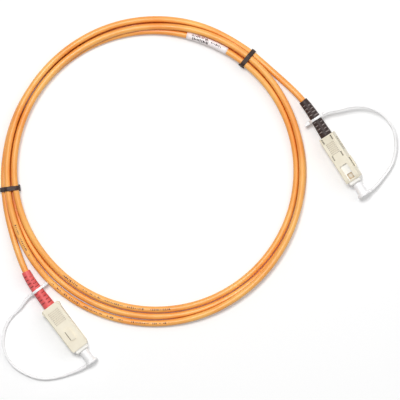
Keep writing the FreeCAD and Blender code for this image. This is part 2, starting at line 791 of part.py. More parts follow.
def make_tie(label, progress):
    """A band round the strands, with its locking head tucked under the inner upper strand."""
    angle = math.radians(180 - progress)
    outward = Vector(math.cos(angle), math.sin(angle), 0)
    centre = Vector(size("coil_centre_x"), size("coil_centre_y"), 0)
    reach = 2 * size("coil_radius")
    screen = Part.makePolygon([centre + outward * (reach / 4), centre + outward * reach,
                               centre + outward * reach + Vector(0, 0, reach),
                               centre + outward * (reach / 4) + Vector(0, 0, reach),
                               centre + outward * (reach / 4)])
    strands = [vertex.Point for vertex in cable_path.section(Part.Face(screen)).Vertexes]
    middle = sum(strands, Vector()) * (1 / len(strands))
    strands.sort(key=lambda point: math.atan2(point.z - middle.z, (point - middle).dot(outward)))
    core = Part.Wire(Part.makePolygon(strands + strands[:1]))
    inside = core.makeOffset2D(cable_radius + size("tie_gap"))
    outside = core.makeOffset2D(cable_radius + size("tie_gap") + size("tie_thickness"))
    along = Vector(0, 0, 1).cross(outward)
    band = centred_slab(outside, along * size("tie_width"))
    inner_reach = min((strand - centre).dot(outward) for strand in strands)
    inner_reach -= cable_radius + size("tie_gap") + size("tie_thickness")
    corner = centre + outward * inner_reach + Vector(0, 0, outside.BoundBox.ZMin)
    shelf = outward * size("tie_head_depth")
    rise = Vector(0, 0, size("tie_head_height"))
    block = Part.Wire(Part.makePolygon([corner, corner + shelf, corner + shelf + rise,
                                        corner + rise, corner]))
    head_travel = along * size("tie_head_length")
    tie = band.fuse(centred_slab(block, head_travel)).cut(centred_slab(inside, head_travel))
    return add_shape(label, tie.removeSplitter())


for label, progress in TIES.items():
    make_tie(label, progress)


# The straps between the caps and their rings
def root_trim(frame, x, reach):
    """A block that ends a strap on the flat face of its root."""
    side = 2 * size("strap_height")
    block = Part.makeBox(side, reach, side, Vector(x - side / 2, -reach, -side / 2))
    block.Placement = frame
    return block


def make_strap(colour):
    """A flat strap on edge, from the ring's root to the cap's root."""
    plug = PLUGS[colour]
    ring_frame = plug_placement(plug, plug["ring_roll"])
    cap_frame = plug_placement(plug, plug["cap_roll"])
    ring_x = size("ring_centre")
    cap_x = size("cap_disc_start") + size("cap_disc_thickness") / 2
    ring_rim = size("ring_diameter") / 2 + size("strap_gap")
    cap_rim = size("cap_disc_diameter") / 2 + size("strap_gap")
    lead = size("strap_root") + size("strap_lead")
    points = [ring_frame.multVec(Vector(ring_x, -ring_rim, 0)),
              ring_frame.multVec(Vector(ring_x, -ring_rim - lead, 0))]
    plan = plug_placement(plug, 0.0)
    plan.Base.z = 0.0
    points += [plan.multVec(Vector(*point)) for point in STRAPS[colour]]
    points += [cap_frame.multVec(Vector(cap_x, -cap_rim - lead, 0)),
               cap_frame.multVec(Vector(cap_x, -cap_rim, 0))]
    path = rounded_wire(points, f"strap {colour}")
    upright = Vector(0, 0, 1)
    across = upright.cross(points[1] - points[0])
    across.normalize()
    half_thick = across * (size("strap_thickness") / 2)
    half_high = upright * (size("strap_height") / 2)
    start = points[0]
    outline = Part.makePolygon([start - half_thick - half_high, start + half_thick - half_high,
                                start + half_thick + half_high, start - half_thick + half_high,
                                start - half_thick - half_high])
    sweep = Part.BRepOffsetAPI.MakePipeShell(path)
    sweep.setBiNormalMode(upright)
    sweep.add(outline)
    sweep.build()
    sweep.makeSolid()
    strap = sweep.shape()
    compare_volume(f"strap {colour}", strap, size("strap_thickness") * size("strap_height"), path.Length)
    strap = strap.cut(root_trim(ring_frame, ring_x, ring_rim + size("strap_root")))
    strap = strap.cut(root_trim(cap_frame, cap_x, cap_rim + size("strap_root")))
    return add_shape(f"tether_strap_{colour}", strap)


for colour in PLUGS:
    make_strap(colour)

doc.recompute()

# Every piece is sound before anything is written
for item in doc.Objects:
    if "Invalid" in item.State or "Error" in item.State:
        raise RuntimeError(f"{item.Label} failed: {item.State}")
for part in parts:
    if part.Shape.isNull() or not part.Shape.isValid():
        raise RuntimeError(f"{part.Label} has no sound shape")

os.makedirs("parts", exist_ok=True)
for part in parts:
    part.Shape.exportStep(f"parts/{part.Label}.step")
whole = Part.makeCompound([part.Shape for part in parts]).BoundBox
print(f"{len(parts)} pieces, box X {whole.XMin:.2f} to {whole.XMax:.2f}, "
      f"Y {whole.YMin:.2f} to {whole.YMax:.2f}, Z {whole.ZMin:.2f} to {whole.ZMax:.2f}")
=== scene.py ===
import bisect
import math

import bmesh
import bpy
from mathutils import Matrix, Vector


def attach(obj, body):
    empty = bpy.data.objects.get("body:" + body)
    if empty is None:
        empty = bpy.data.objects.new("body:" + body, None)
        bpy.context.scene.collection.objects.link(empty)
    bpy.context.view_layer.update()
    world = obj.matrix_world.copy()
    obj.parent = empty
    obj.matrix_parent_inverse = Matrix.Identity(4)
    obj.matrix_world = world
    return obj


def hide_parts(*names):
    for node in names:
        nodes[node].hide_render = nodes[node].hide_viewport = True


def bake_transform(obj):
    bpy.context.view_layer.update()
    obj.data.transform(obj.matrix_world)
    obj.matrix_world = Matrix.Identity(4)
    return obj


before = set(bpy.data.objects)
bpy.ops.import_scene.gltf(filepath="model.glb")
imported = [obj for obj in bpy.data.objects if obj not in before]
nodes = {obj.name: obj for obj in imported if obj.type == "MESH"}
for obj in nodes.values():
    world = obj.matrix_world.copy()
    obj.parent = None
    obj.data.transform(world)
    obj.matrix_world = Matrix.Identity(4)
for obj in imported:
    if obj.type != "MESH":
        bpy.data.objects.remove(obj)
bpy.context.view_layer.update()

# Sizes are in millimetres and degrees unless a comment says otherwise
MM = 0.001
UP = Vector((0, 0, 1))

# The coil, whose strands rise a little towards each tie
CABLE_RADIUS = 1.5
CABLE_SIDES = 20
LANE_PITCH = 3.1
COIL_RADIUS = 68.4
COIL_CENTRE = (-20.3, 12.78)
COIL_STEP = 18
TIE_LIFT = 0.9
TIE_LIFT_SPAN = 40
TIE_PROGRESS = (-7.0, 129.4)

# Each plug: bearing of its housing's rear face from the coil's centre, distance outside the coil's radius,
# height of its axis, heading, roll, the rolls at which its strap leaves the ring and the cap, and how far
# the rear end of its soft boot turns aside
PLUGS = {
    "red": {"place": (-127.9598, 12.1386, 3.7), "heading": -52.8, "roll": 0, "ring_roll": 10, "cap_roll": 10,
            "boot_bend": -11.5},
    "black": {"place": (11.6166, 13.782, 5.5071), "heading": -57.5, "roll": -78, "ring_roll": 190,
              "cap_roll": 170, "boot_bend": 7},
}

# Lanes of the coil: progress in degrees, outward offset and height in lane pitches
LANES = (
    (0, 0.75, 0), (90, 0.2, 0), (115, -0.2, 0), (129, -0.25, 0), (180, 0.5, 0), (270, 0, 0), (315, 0, 0),
    (353, -0.25, 0), (398, -0.6, 0), (450, -0.85, 0.15), (464, -0.98, 0.65), (482, -1, 0.82),
    (491, -0.8, 0.9), (510, -0.72, 0.76), (530, -0.62, 0.38), (548, -0.56, 0), (630, -1.03, 0),
    (672, -1.05, 0.1), (690, -1.0, 0.52), (702, -0.88, 0.78), (713, -0.75, 0.9), (724, -0.72, 0.98),
    (740, -0.68, 1.02), (760, -0.6, 1.03), (810, -0.2, 1.02), (832, 0.15, 0.98), (849, 0.25, 0.9),
    (866, 0.24, 1.0), (884, 0.22, 1.04), (905, 0.25, 1.0), (945, 0.6, 1.03), (960, 0.78, 0.88),
    (975, 0.97, 0.55), (990, 1.08, 0), (1032, 1.12, 0.05), (1048, 0.86, 0.52), (1062, 0.5, 0.8),
    (1073, 0.27, 0.92), (1100, 0.4, 1.03), (1118, 0.48, 1.06), (1135, 0.62, 1.02), (1150, 0.8, 0.94),
    (1170, 0.92, 0.82), (1183, 1.0, 0.64), (1196, 1.0, 0.2), (1206, 0.85, 0),
)

# Stations of the cable and the boot along a plug, from its housing's rear face
JACKET_END = -0.2
IN_BOOT = -5.55
BOOT_BEND_START = -10.3
BOOT_REAR = -19.8
BOOT_BEND_LENGTH = BOOT_BEND_START - BOOT_REAR
BEHIND_BOOT = -24.55

# Points between the coil and each boot: bearing from the coil's centre, distance outside its radius, height
RED_TAIL = ((-155.4, 5.2, 2.5), (-166.1, 3.85, 2.2))
BLACK_TAIL = ((40.7835, 3.9206, 2.4),)

# Points of each strap: distance along the plug's axis, distance to the left of it, height
STRAPS = {
    "red": ((-7.57, -11.11, 1.9), (-7.17, -17.2, 1.4), (-4.52, -23.47, 1.3), (1.71, -29.33, 1.3),
            (10.11, -31.32, 1.3), (18.33, -28.76, 1.3), (25.3, -23.88, 1.3), (29.48, -16.39, 1.35),
            (31.48, -10.12, 1.9)),
    "black": ((-7.35, 11.0, 7.2), (-5.2, 17.82, 7.6), (-1.19, 23.56, 7.3), (5.58, 27.67, 6.2),
              (13.85, 28.56, 4.9), (21.52, 25.34, 3.6), (28.08, 19.26, 2.9), (31.02, 11.58, 3.2)),
}

# Where a strap leaves its ring and its cap, how far it runs straight there, and its section
RING_X = -9.4
RING_REACH = 3.95
CAP_X = 32.65
CAP_REACH = 3.65
STRAP_LEAD = 2.4
STRAP_THICKNESS = 1.2
STRAP_HEIGHT = 2.6
STRAP_CORNER = 0.35
STRAP_CORNER_STEPS = 3

# The springs, from their rear ends
SPRING_START = 9.275
SPRING_LENGTH = 8.65
SPRING_RADIUS = 1.825
SPRING_TURNS = 5
SPRING_STEPS = 28
SPRING_ROLL = 90
WIRE_RADIUS = 0.225
WIRE_SIDES = 10

# The label: its place on the coil, the room it takes round the jacket, its seam, its lap, and how much of
# half that room its sheet fills
LABEL_LENGTH = 20.4
LABEL_PROGRESS = 472
LABEL_INSIDE = 1.53
LABEL_OUTSIDE = 1.73
LABEL_SIDES = 28
LABEL_STEPS = 14
LABEL_SEAM = -60
LABEL_LAP = 50
LABEL_FILL = 0.9

# Print on the jacket: its stretches by progress round the coil, the pitch of its marks and groups in
# millimetres, the share of a group that is printed, and its place and half height in shares of the way round
PRINT_STRETCHES = ((622, 672), (985, 1032), (1045, 1060))
PRINT_PITCH = 0.9
PRINT_GROUP = 11.2
PRINT_GROUP_SHARE = 0.84
PRINT_PLACE = 0.25
PRINT_HALF_HEIGHT = 0.034
PRINT_SEED = 3.0
PRINT_INK = (96, 28, 4)

# Rows of print on the label: place and half height in shares of the way round it, start and end along it
# and pitch in millimetres, and ink
LABEL_ROWS = (
    (0.287, 0.011, 5.0, 10.5, 0.8, (176, 84, 72)),
    (0.262, 0.016, 2.4, 10.6, 0.75, (72, 52, 60)),
    (0.202, 0.023, 2.8, 10.8, 0.75, (34, 26, 26)),
    (0.246, 0.015, 11.6, 17.1, 0.8, (76, 60, 70)),
)
LABEL_SEEDS = 1000

# A printed mark: its least width and what chance adds to it, its least height, and the share of gaps
MARK_WIDTH = 0.35
MARK_WIDTH_CHANCE = 0.45
MARK_HEIGHT = 0.5
MARK_GAPS = 0.1
MARK_HEIGHT_SEED = 31.7
MARK_GAP_SEED = 57.3

# The painted shadow line along the foot of each plug's key: start and end along the plug, to the left of its
# axis and above it
KEY_SHADOW_BOX = ((14.1, 18.9), (-1.56, -1.19), (3.5, 3.98))

# Each moulded or turned finish: darker and lighter tone, range of roughness, scale and depth of its grain
MOULDED = {
    "housing_beige": ((237, 228, 206), (243, 235, 214), (0.4, 0.52), 3800, 0.03),
    "inner_cream": ((245, 243, 236), (251, 249, 244), (0.34, 0.46), 3800, 0.02),
    "boot_red": ((226, 84, 84), (236, 100, 98), (0.42, 0.56), 3000, 0.04),
    "boot_black": ((46, 33, 31), (60, 45, 42), (0.38, 0.52), 3000, 0.04),
    "tether_white": ((248, 247, 247), (253, 252, 252), (0.34, 0.46), 2400, 0.02),
    "tie_black": ((42, 25, 20), (54, 34, 27), (0.42, 0.54), 2600, 0.03),
    "buffer_white": ((232, 228, 220), (246, 243, 238), (0.38, 0.5), 3000, 0.02),
    "ferrule_ceramic": ((236, 238, 240), (247, 248, 250), (0.1, 0.18), 5000, 0.005),
    "flange_steel": ((150, 152, 156), (172, 174, 178), (0.24, 0.36), 4200, 0.01),
    "spring_steel": ((128, 130, 134), (150, 152, 156), (0.28, 0.4), 4200, 0.01),
    "crimp_brass": ((176, 140, 84), (196, 160, 100), (0.26, 0.38), 4200, 0.01),
}

# Painted shade in the grooves, slits and pockets of a finish and between the jacket's strands, and a painted
# highlight in the black boot's slots: tone, reach of a groove, and the openness at which it is full and gone
HOLLOW_PAINTED_LIGHT = {
    "housing_beige": (((224, 212, 190), 0.8, 0.3, 0.7), ((96, 82, 54), 2.0, 0.2, 0.36)),
    "inner_cream": (((196, 174, 138), 2.0, 0.7, 0.98),),
    "boot_red": (((132, 24, 30), 0.8, 0.3, 0.85),),
    "boot_black": (((196, 186, 183), 0.8, 0.3, 0.75),),
    "jacket_orange": (((216, 98, 8), 1.6, 0.25, 0.72),),
}

# Painted highlight along the edges of a finish, with the width of the edge, and painted shadow in a line
# beside the key
EDGE_PAINTED_HIGHLIGHTS = {"boot_red": ((243, 140, 136), 0.14)}
KEY_SHADOW_INKS = {"housing_beige": (96, 82, 54)}

# Shader values that differ from the usual ones
SHADER_VALUES = {
    "jacket_orange": {"Specular IOR Level": 0.55},
    "label_white": {"Specular IOR Level": 0.4},
    "boot_black": {"Specular IOR Level": 0.25},
    "tie_black": {"Specular IOR Level": 0.3},
    "flange_steel": {"Metallic": 1.0},
    "spring_steel": {"Metallic": 1.0},
    "crimp_brass": {"Metallic": 1.0},
}

# The finish of each piece and the width of its rounded edges, by the start of its name
NODE_FINISH = {
    "outer_housing": "housing_beige", "inner_body": "inner_cream", "ferrule_flange": "flange_steel",
    "ferrule": "ferrule_ceramic", "spring": "spring_steel", "stop_ring": "flange_steel",
    "crimp_sleeve": "crimp_brass", "tether_ring": "tether_white", "tether_strap": "tether_white",
    "dust_cap": "tether_white", "buffered_fibre": "buffer_white", "boot_red": "boot_red",
    "boot_black": "boot_black", "tie": "tie_black", "cable": "jacket_orange", "label": "label_white",
}
EDGE_WIDTHS = {"outer_housing": 0.06, "inner_body": 0.08, "dust_cap": 0.1, "tether_ring": 0.12, "boot": 0.05,
               "tie": 0.09}

# The smooth line of a route, and the rounding of edges, whose weld is in metres
LINE_STEPS = 10
WELD_REACH = 1e-7
BEVEL_SEGMENTS = 2
BEVEL_ANGLE = 35

# Textures: the range that noise mostly covers, its scales and detail, and the quality of edges and grooves
NOISE_RANGE = (0.3, 0.7)
NOISE_DETAIL = 3.0
GRAIN_DETAIL = 2.0
ROUGH_SCALE = 900
BODY_SCALE = 260
BUMP_STRENGTH = 0.6
OPENNESS_SAMPLES = 8
EDGE_SAMPLES = 6
EDGE_LIKENESS = (0.7, 0.97)

# The jacket and the label: tones and their scale, roughness, and the scale and depth of their grain. The
# jacket's grain is drawn out along it
JACKET_TONES = ((246, 154, 62), (252, 187, 97))
JACKET_TONE_SCALE = 60
JACKET_ROUGH = (0.3, 0.42)
JACKET_DRAW = (60.0, 26.0)
JACKET_GRAIN = (5.0, 0.04)
LABEL_TONES = ((246, 234, 234), (253, 247, 246))
LABEL_TONE_SCALE = 500
LABEL_ROUGH = (0.35, 0.5)
LABEL_GRAIN = (5200, 0.02)

# Floor, light and camera, in metres. The floor's glow grows from the object outward
FLOOR_REACH = 3
FLOOR_HEIGHT = -0.0002
FLOOR_TONE = (0.86, 0.86, 0.86, 1)
FLOOR_ROUGH = 0.9
GLOW_RANGE = (0.15, 1.0)
GLOW_STRENGTHS = (0.19, 0.85)
WHITE = (1, 1, 1, 1)
SKY_STRENGTH = 0.21
LAMPS = {"key": ((-0.15, 0.27, 1.1), 0.26, 7.9), "fill": ((0.5, 0.42, 0.9), 0.9, 3.4)}
CAMERA_PLACE = (0.00085, -0.00085, 1.2)
CAMERA_NEAR = 0.05
SENSOR_WIDTH = 36
VIEW_DISTANCE = 1.197
VIEW_WIDTH = 0.188


# Points of the route
def beside_coil(bearing, outside, height):
    """A place given from the coil's centre and radius, in metres."""
    angle = math.radians(bearing)
    reach = COIL_RADIUS + outside
    return Vector((COIL_CENTRE[0] + reach * math.cos(angle), COIL_CENTRE[1] + reach * math.sin(angle),
                   height)) * MM


def plug_ways(colour):
    """The level ways forward and to the left of a plug."""
    heading = math.radians(PLUGS[colour]["heading"])
    forward = Vector((math.cos(heading), math.sin(heading), 0))
    return forward, Vector((-math.sin(heading), math.cos(heading), 0))


def plug_axes(colour):
    """The ways forward, to the left and up of a plug that lies rolled."""
    forward, left = plug_ways(colour)
    roll = math.radians(PLUGS[colour]["roll"])
    return forward, left * math.cos(roll) + UP * math.sin(roll), UP * math.cos(roll) - left * math.sin(roll)


def plug_point(colour, x, reach=0.0, roll=0.0):
    """A place given along a plug's axis and out from it to the right, in metres."""
    forward, left = plug_ways(colour)
    turn = math.radians(roll)
    out = left * math.cos(turn) + UP * math.sin(turn)
    return beside_coil(*PLUGS[colour]["place"]) + (forward * x - out * reach) * MM


def boot_bend(colour, x):
    """Where the axis of a bent boot lies along and to the left of the plug, and how far it has turned."""
    curl = math.radians(PLUGS[colour]["boot_bend"]) / BOOT_BEND_LENGTH
    behind = max(0.0, BOOT_BEND_START - x)
    turn = curl * min(behind, BOOT_BEND_LENGTH)
    straight = max(0.0, behind - BOOT_BEND_LENGTH)
    back = math.sin(turn) / curl + straight * math.cos(turn)
    aside = (math.cos(turn) - 1) / curl - straight * math.sin(turn)
    return max(x, BOOT_BEND_START) - back, aside, turn


def boot_point(colour, x):
    """A place on the axis of a bent boot, in metres."""
    along, aside = boot_bend(colour, x)[:2]
    return plug_point(colour, along, -aside)


def boot_corner(colour):
    """Where the straight axes of a boot's front and rear meet, in metres."""
    turn = math.radians(PLUGS[colour]["boot_bend"])
    return plug_point(colour, BOOT_BEND_START - math.tan(turn / 2) / turn * BOOT_BEND_LENGTH)


def strap_point(colour, x, left, height):
    """A place given along a plug's axis, to the left of it and above the table, in metres."""
    point = plug_point(colour, x, -left)
    point.z = height * MM
    return point


def lane_at(progress):
    """Outward offset and height of the coil's line, in lane pitches."""
    for (start, offset, height), (end, next_offset, next_height) in zip(LANES, LANES[1:]):
        if start <= progress <= end:
            share = (progress - start) / (end - start)
            return offset + (next_offset - offset) * share, height + (next_height - height) * share
    return LANES[-1][1:]


def coil_point(progress):
    """A control point of the coil, far enough out for the smooth line to pass at the lane's distance."""
    offset, height = lane_at(progress)
    away = min(abs((progress - tie + 180) % 360 - 180) for tie in TIE_PROGRESS)
    lift = TIE_LIFT * max(0.0, 1 - away / TIE_LIFT_SPAN)
    reach = (COIL_RADIUS + offset * LANE_PITCH) / math.cos(math.radians(COIL_STEP / 2))
    return beside_coil(180 - progress, reach - COIL_RADIUS, CABLE_RADIUS + height * LANE_PITCH + lift)


def cable_points():
    stations = LANES[-1][0] // COIL_STEP + 1
    ends = {colour: [plug_point(colour, JACKET_END), plug_point(colour, IN_BOOT), boot_corner(colour),
                     boot_point(colour, BEHIND_BOOT)] for colour in PLUGS}
    points = ends["red"] + [beside_coil(*point) for point in RED_TAIL]
    points += [coil_point(station * COIL_STEP) for station in range(stations)]
    points += [beside_coil(*point) for point in BLACK_TAIL]
    return points + ends["black"][::-1]


def strap_points(colour):
    plug = PLUGS[colour]
    points = [plug_point(colour, RING_X, RING_REACH + step, plug["ring_roll"]) for step in (0, STRAP_LEAD)]
    points += [strap_point(colour, *point) for point in STRAPS[colour]]
    points += [plug_point(colour, CAP_X, CAP_REACH + step, plug["cap_roll"]) for step in (STRAP_LEAD, 0)]
    return points


# Meshes that follow a smooth line
def placed(name, data):
    """A new object in the scene."""
    item = bpy.data.objects.new(name, data)
    bpy.context.collection.objects.link(item)
    return item


def smooth_line(points):
    """The points of a NURBS spline that has the route as its control points."""
    curve = bpy.data.curves.new("route", "CURVE")
    curve.dimensions = "3D"
    curve.resolution_u = LINE_STEPS
    spline = curve.splines.new("NURBS")
    spline.points.add(len(points) - 1)
    for place, point in zip(spline.points, points):
        place.co = (*point, 1)
    spline.order_u = 3
    spline.use_endpoint_u = True
    holder = placed("route", curve)
    bpy.context.view_layer.update()
    graph = bpy.context.evaluated_depsgraph_get()
    mesh = bpy.data.meshes.new_from_object(holder.evaluated_get(graph))
    line = [vertex.co.copy() for vertex in mesh.vertices]
    bpy.data.meshes.remove(mesh)
    bpy.data.objects.remove(holder)
    bpy.data.curves.remove(curve)
    return line


def lengths_along(line):
    lengths = [0.0]
    for before, after in zip(line, line[1:]):
        lengths.append(lengths[-1] + (after - before).length)
    return lengths


def sweep(name, line, section, ups=None):
    """A closed mesh of one section along a line.

    Its UV map holds the length in metres and the share of the way round.
    """
    lengths = lengths_along(line)
    count = len(section)
    work = bmesh.new()
    uv = work.loops.layers.uv.new("UVMap")
    rings = []
    for index, point in enumerate(line):
        ahead = line[min(index + 1, len(line) - 1)]
        behind = line[max(index - 1, 0)]
        tangent = (ahead - behind).normalized()
        side = tangent.cross(ups[index] if ups else UP).normalized()
        top = side.cross(tangent)
        rings.append([work.verts.new(point + side * across + top * high) for across, high in section])
    for index, (ring, following) in enumerate(zip(rings, rings[1:])):
        for step in range(count):
            after = (step + 1) % count
            face = work.faces.new((ring[step], following[step], following[after], ring[after]))
            face.smooth = True
            places = ((index, step), (index + 1, step), (index + 1, step + 1), (index, step + 1))
            for loop, (station, turn) in zip(face.loops, places):
                loop[uv].uv = (lengths[station], turn / count)
    work.faces.new(rings[0])
    work.faces.new(reversed(rings[-1]))
    bmesh.ops.recalc_face_normals(work, faces=work.faces)
    mesh = bpy.data.meshes.new(name)
    work.to_mesh(mesh)
    work.free()
    return placed(name, mesh)


def round_section(radius, sides):
    turns = [2 * math.pi * step / sides for step in range(sides)]
    return [(radius * math.cos(turn), radius * math.sin(turn)) for turn in turns]


def strap_section(width, height, corner, steps):
    """A flat section on edge with rounded corners."""
    section = []
    for quarter in range(4):
        sign_x = 1 if quarter in (0, 3) else -1
        sign_y = 1 if quarter in (0, 1) else -1
        for step in range(steps + 1):
            turn = math.pi / 2 * (quarter + step / steps)
            section.append((sign_x * (width / 2 - corner) + corner * math.cos(turn),
                            sign_y * (height / 2 - corner) + corner * math.sin(turn)))
    return section


def wrap_section(inside, outside, sides, overlap):
    """A thin sheet wound once round a cable, with its outer edge lapped over the inner one."""
    thickness = (outside - inside) / 2 * LABEL_FILL
    turns = [overlap * (step / sides - 1) + 2 * math.pi * step / sides for step in range(sides + 1)]
    radii = [inside + (outside - inside - thickness) * step / sides for step in range(sides + 1)]
    start = math.radians(LABEL_SEAM)
    outer = [((radius + thickness) * math.cos(start + turn), (radius + thickness) * math.sin(start + turn))
             for turn, radius in zip(turns, radii)]
    inner = [(radius * math.cos(start + turn), radius * math.sin(start + turn))
             for turn, radius in zip(turns, radii)]
    return outer + inner[::-1]


cable_line = smooth_line(cable_points())
cable_lengths = lengths_along(cable_line)
cable = sweep("cable_jacket", cable_line, round_section(CABLE_RADIUS * MM, CABLE_SIDES))


def length_near(point):
    """How far along the cable its line passes a point."""
    index = min(range(len(cable_line)), key=lambda index: (cable_line[index] - point).length)
    return cable_lengths[index]


def cable_point(length):
    """The place on the cable's line a given way along it."""
    index = bisect.bisect(cable_lengths, length)
    before, after = cable_lengths[index - 1:index + 1]
    return cable_line[index - 1].lerp(cable_line[index], (length - before) / (after - before))


# Materials
def linear(red, green, blue):
    """A colour written as on a screen, from 0 to 255, turned to light by the standard curve."""
    shares = [value / 255 for value in (red, green, blue)]
    light = [share / 12.92 if share <= 0.04045 else ((share + 0.055) / 1.055) ** 2.4 for share in shares]
    return (*light, 1.0)


def add(tree, kind, inputs=None, **settings):
    """A new shader node. An input is a constant or the socket of another node."""
    item = tree.nodes.new(kind)
    for key, value in settings.items():
        setattr(item, key, value)
    for key, value in (inputs or {}).items():
        if isinstance(value, bpy.types.NodeSocket):
            tree.links.new(value, item.inputs[key])
        else:
            item.inputs[key].default_value = value
    return item


def calc(tree, operation, first, second=0.0):
    return add(tree, "ShaderNodeMath", {0: first, 1: second}, operation=operation).outputs[0]


def remap(tree, value, start, end, low, high):
    """Turn the range from start to end into the one from low to high."""
    return add(tree, "ShaderNodeMapRange", {"Value": value, "From Min": start, "From Max": end,
                                            "To Min": low, "To Max": high}).outputs["Result"]


def below(tree, value, low, high):
    """1 under the low value, 0 over the high one."""
    return remap(tree, value, low, high, 1.0, 0.0)


def inside_range(tree, value, low, high):
    """1 between the low value and the high one, 0 elsewhere."""
    over = calc(tree, "GREATER_THAN", value, low)
    return calc(tree, "MULTIPLY", over, calc(tree, "LESS_THAN", value, high))


def noise(tree, vector, scale, detail=NOISE_DETAIL):
    inputs = {"Vector": vector, "Scale": scale, "Detail": detail}
    return add(tree, "ShaderNodeTexNoise", inputs).outputs["Fac"]


def clouds(tree, vector, scale, shade, colour):
    """A tone that drifts between two colours."""
    item = add(tree, "ShaderNodeValToRGB", {"Fac": noise(tree, vector, scale)})
    for stop, position, tone in zip(item.color_ramp.elements, NOISE_RANGE, (shade, colour)):
        stop.position, stop.color = position, linear(*tone)
    return item.outputs["Color"]


def inked(tree, marks, under, ink):
    """Another colour where the marks are 1."""
    return add(tree, "ShaderNodeMix", {0: marks, 6: under, 7: linear(*ink)}, data_type="RGBA").outputs[2]


def openness(tree, reach):
    """0 deep in a groove or an inner corner of the piece, 1 on its open faces."""
    return add(tree, "ShaderNodeAmbientOcclusion", {"Distance": reach}, only_local=True,
               samples=OPENNESS_SAMPLES).outputs["AO"]


def paint_hollow_light(tree, name, body):
    """Painted shade in the grooves of a piece (painted light in the black boot's slots), set by how open its
    surface is.
    """
    for ink, reach, low, high in HOLLOW_PAINTED_LIGHT.get(name, ()):
        body = inked(tree, below(tree, openness(tree, reach * MM), low, high), body, ink)
    return body


def edges(tree, radius):
    """1 along the edges of the piece, 0 on its faces."""
    rounded = add(tree, "ShaderNodeBevel", {"Radius": radius}, samples=EDGE_SAMPLES)
    flat = add(tree, "ShaderNodeNewGeometry")
    alike = add(tree, "ShaderNodeVectorMath", {0: rounded.outputs["Normal"], 1: flat.outputs["True Normal"]},
                operation="DOT_PRODUCT")
    return below(tree, alike.outputs["Value"], *EDGE_LIKENESS)


def painted_key_shadows(tree, place):
    """1 in the painted shadow line beside the key of each plug."""
    painted_lines = 0.0
    for colour in PLUGS:
        origin = plug_point(colour, 0)
        painted_line = 1.0
        for axis, (low, high) in zip(plug_axes(colour), KEY_SHADOW_BOX):
            reach = add(tree, "ShaderNodeVectorMath", {0: place, 1: axis}, operation="DOT_PRODUCT")
            start = origin.dot(axis)
            within = inside_range(tree, reach.outputs["Value"], start + low * MM, start + high * MM)
            painted_line = calc(tree, "MULTIPLY", within, painted_line)
        painted_lines = calc(tree, "ADD", painted_line, painted_lines)
    return painted_lines


def material(name, rough):
    """A material of slightly uneven roughness, with its node tree, shader and texture coordinates."""
    made = bpy.data.materials.new(name)
    made.use_nodes = True
    tree = made.node_tree
    shader = tree.nodes["Principled BSDF"]
    for key, value in SHADER_VALUES.get(name, {}).items():
        shader.inputs[key].default_value = value
    coords = add(tree, "ShaderNodeTexCoord").outputs
    patches = noise(tree, coords["Object"], ROUGH_SCALE)
    tree.links.new(remap(tree, patches, *NOISE_RANGE, *rough), shader.inputs["Roughness"])
    return made, tree, shader, coords


def relief(tree, shader, height, depth):
    """A fine unevenness of the surface, its depth in millimetres."""
    bump = add(tree, "ShaderNodeBump", {"Height": height, "Strength": BUMP_STRENGTH, "Distance": depth * MM})
    tree.links.new(bump.outputs["Normal"], shader.inputs["Normal"])


def moulded(name):
    """A moulded or turned piece: a cloudy tone, a fine grain, painted shade in its grooves (a painted
    highlight in the black boot's slots), a painted highlight on edges and a painted shadow line beside each
    key.
    """
    shade, colour, rough, grain, depth = MOULDED[name]
    made, tree, shader, coords = material(name, rough)
    place = coords["Object"]
    # Painted shade in grooves, slits and pockets; on the black boot, painted light in its slots
    body = paint_hollow_light(tree, name, clouds(tree, place, BODY_SCALE, shade, colour))
    # Painted highlight along the edges
    if name in EDGE_PAINTED_HIGHLIGHTS:
        ink, radius = EDGE_PAINTED_HIGHLIGHTS[name]
        body = inked(tree, edges(tree, radius * MM), body, ink)
    # A painted shadow line beside each key
    if name in KEY_SHADOW_INKS:
        body = inked(tree, painted_key_shadows(tree, place), body, KEY_SHADOW_INKS[name])
    tree.links.new(body, shader.inputs["Base Color"])
    relief(tree, shader, noise(tree, place, grain, GRAIN_DETAIL), depth)
    return made


def chance(tree, cell, seed):
    """A value from 0 to 1 that is the same all over one cell."""
    return add(tree, "ShaderNodeTexWhiteNoise", {"W": calc(tree, "ADD", cell, seed)},
               noise_dimensions="1D").outputs["Value"]


def along_and_round(tree, coords):
    """The way along a swept piece in metres, and the share of the way round it."""
    axes = add(tree, "ShaderNodeSeparateXYZ", {"Vector": coords["UV"]}).outputs
    return axes["X"], axes["Y"]


def print_marks(tree, along, turn, pitch, middle, half_height, seed):
    """A row of plain marks, each of its own width and height, with a few gaps."""
    place = calc(tree, "DIVIDE", along, pitch * MM)
    cell = calc(tree, "FLOOR", place)
    width = calc(tree, "MULTIPLY", chance(tree, cell, seed), MARK_WIDTH_CHANCE)
    wide = calc(tree, "LESS_THAN", calc(tree, "FRACT", place), calc(tree, "ADD", width, MARK_WIDTH))
    height = calc(tree, "ADD", chance(tree, cell, seed + MARK_HEIGHT_SEED), MARK_HEIGHT)
    reach = calc(tree, "MULTIPLY", height, half_height)
    high = calc(tree, "LESS_THAN", calc(tree, "ABSOLUTE", calc(tree, "SUBTRACT", turn, middle)), reach)
    kept = calc(tree, "GREATER_THAN", chance(tree, cell, seed + MARK_GAP_SEED), MARK_GAPS)
    return calc(tree, "MULTIPLY", calc(tree, "MULTIPLY", wide, high), kept)


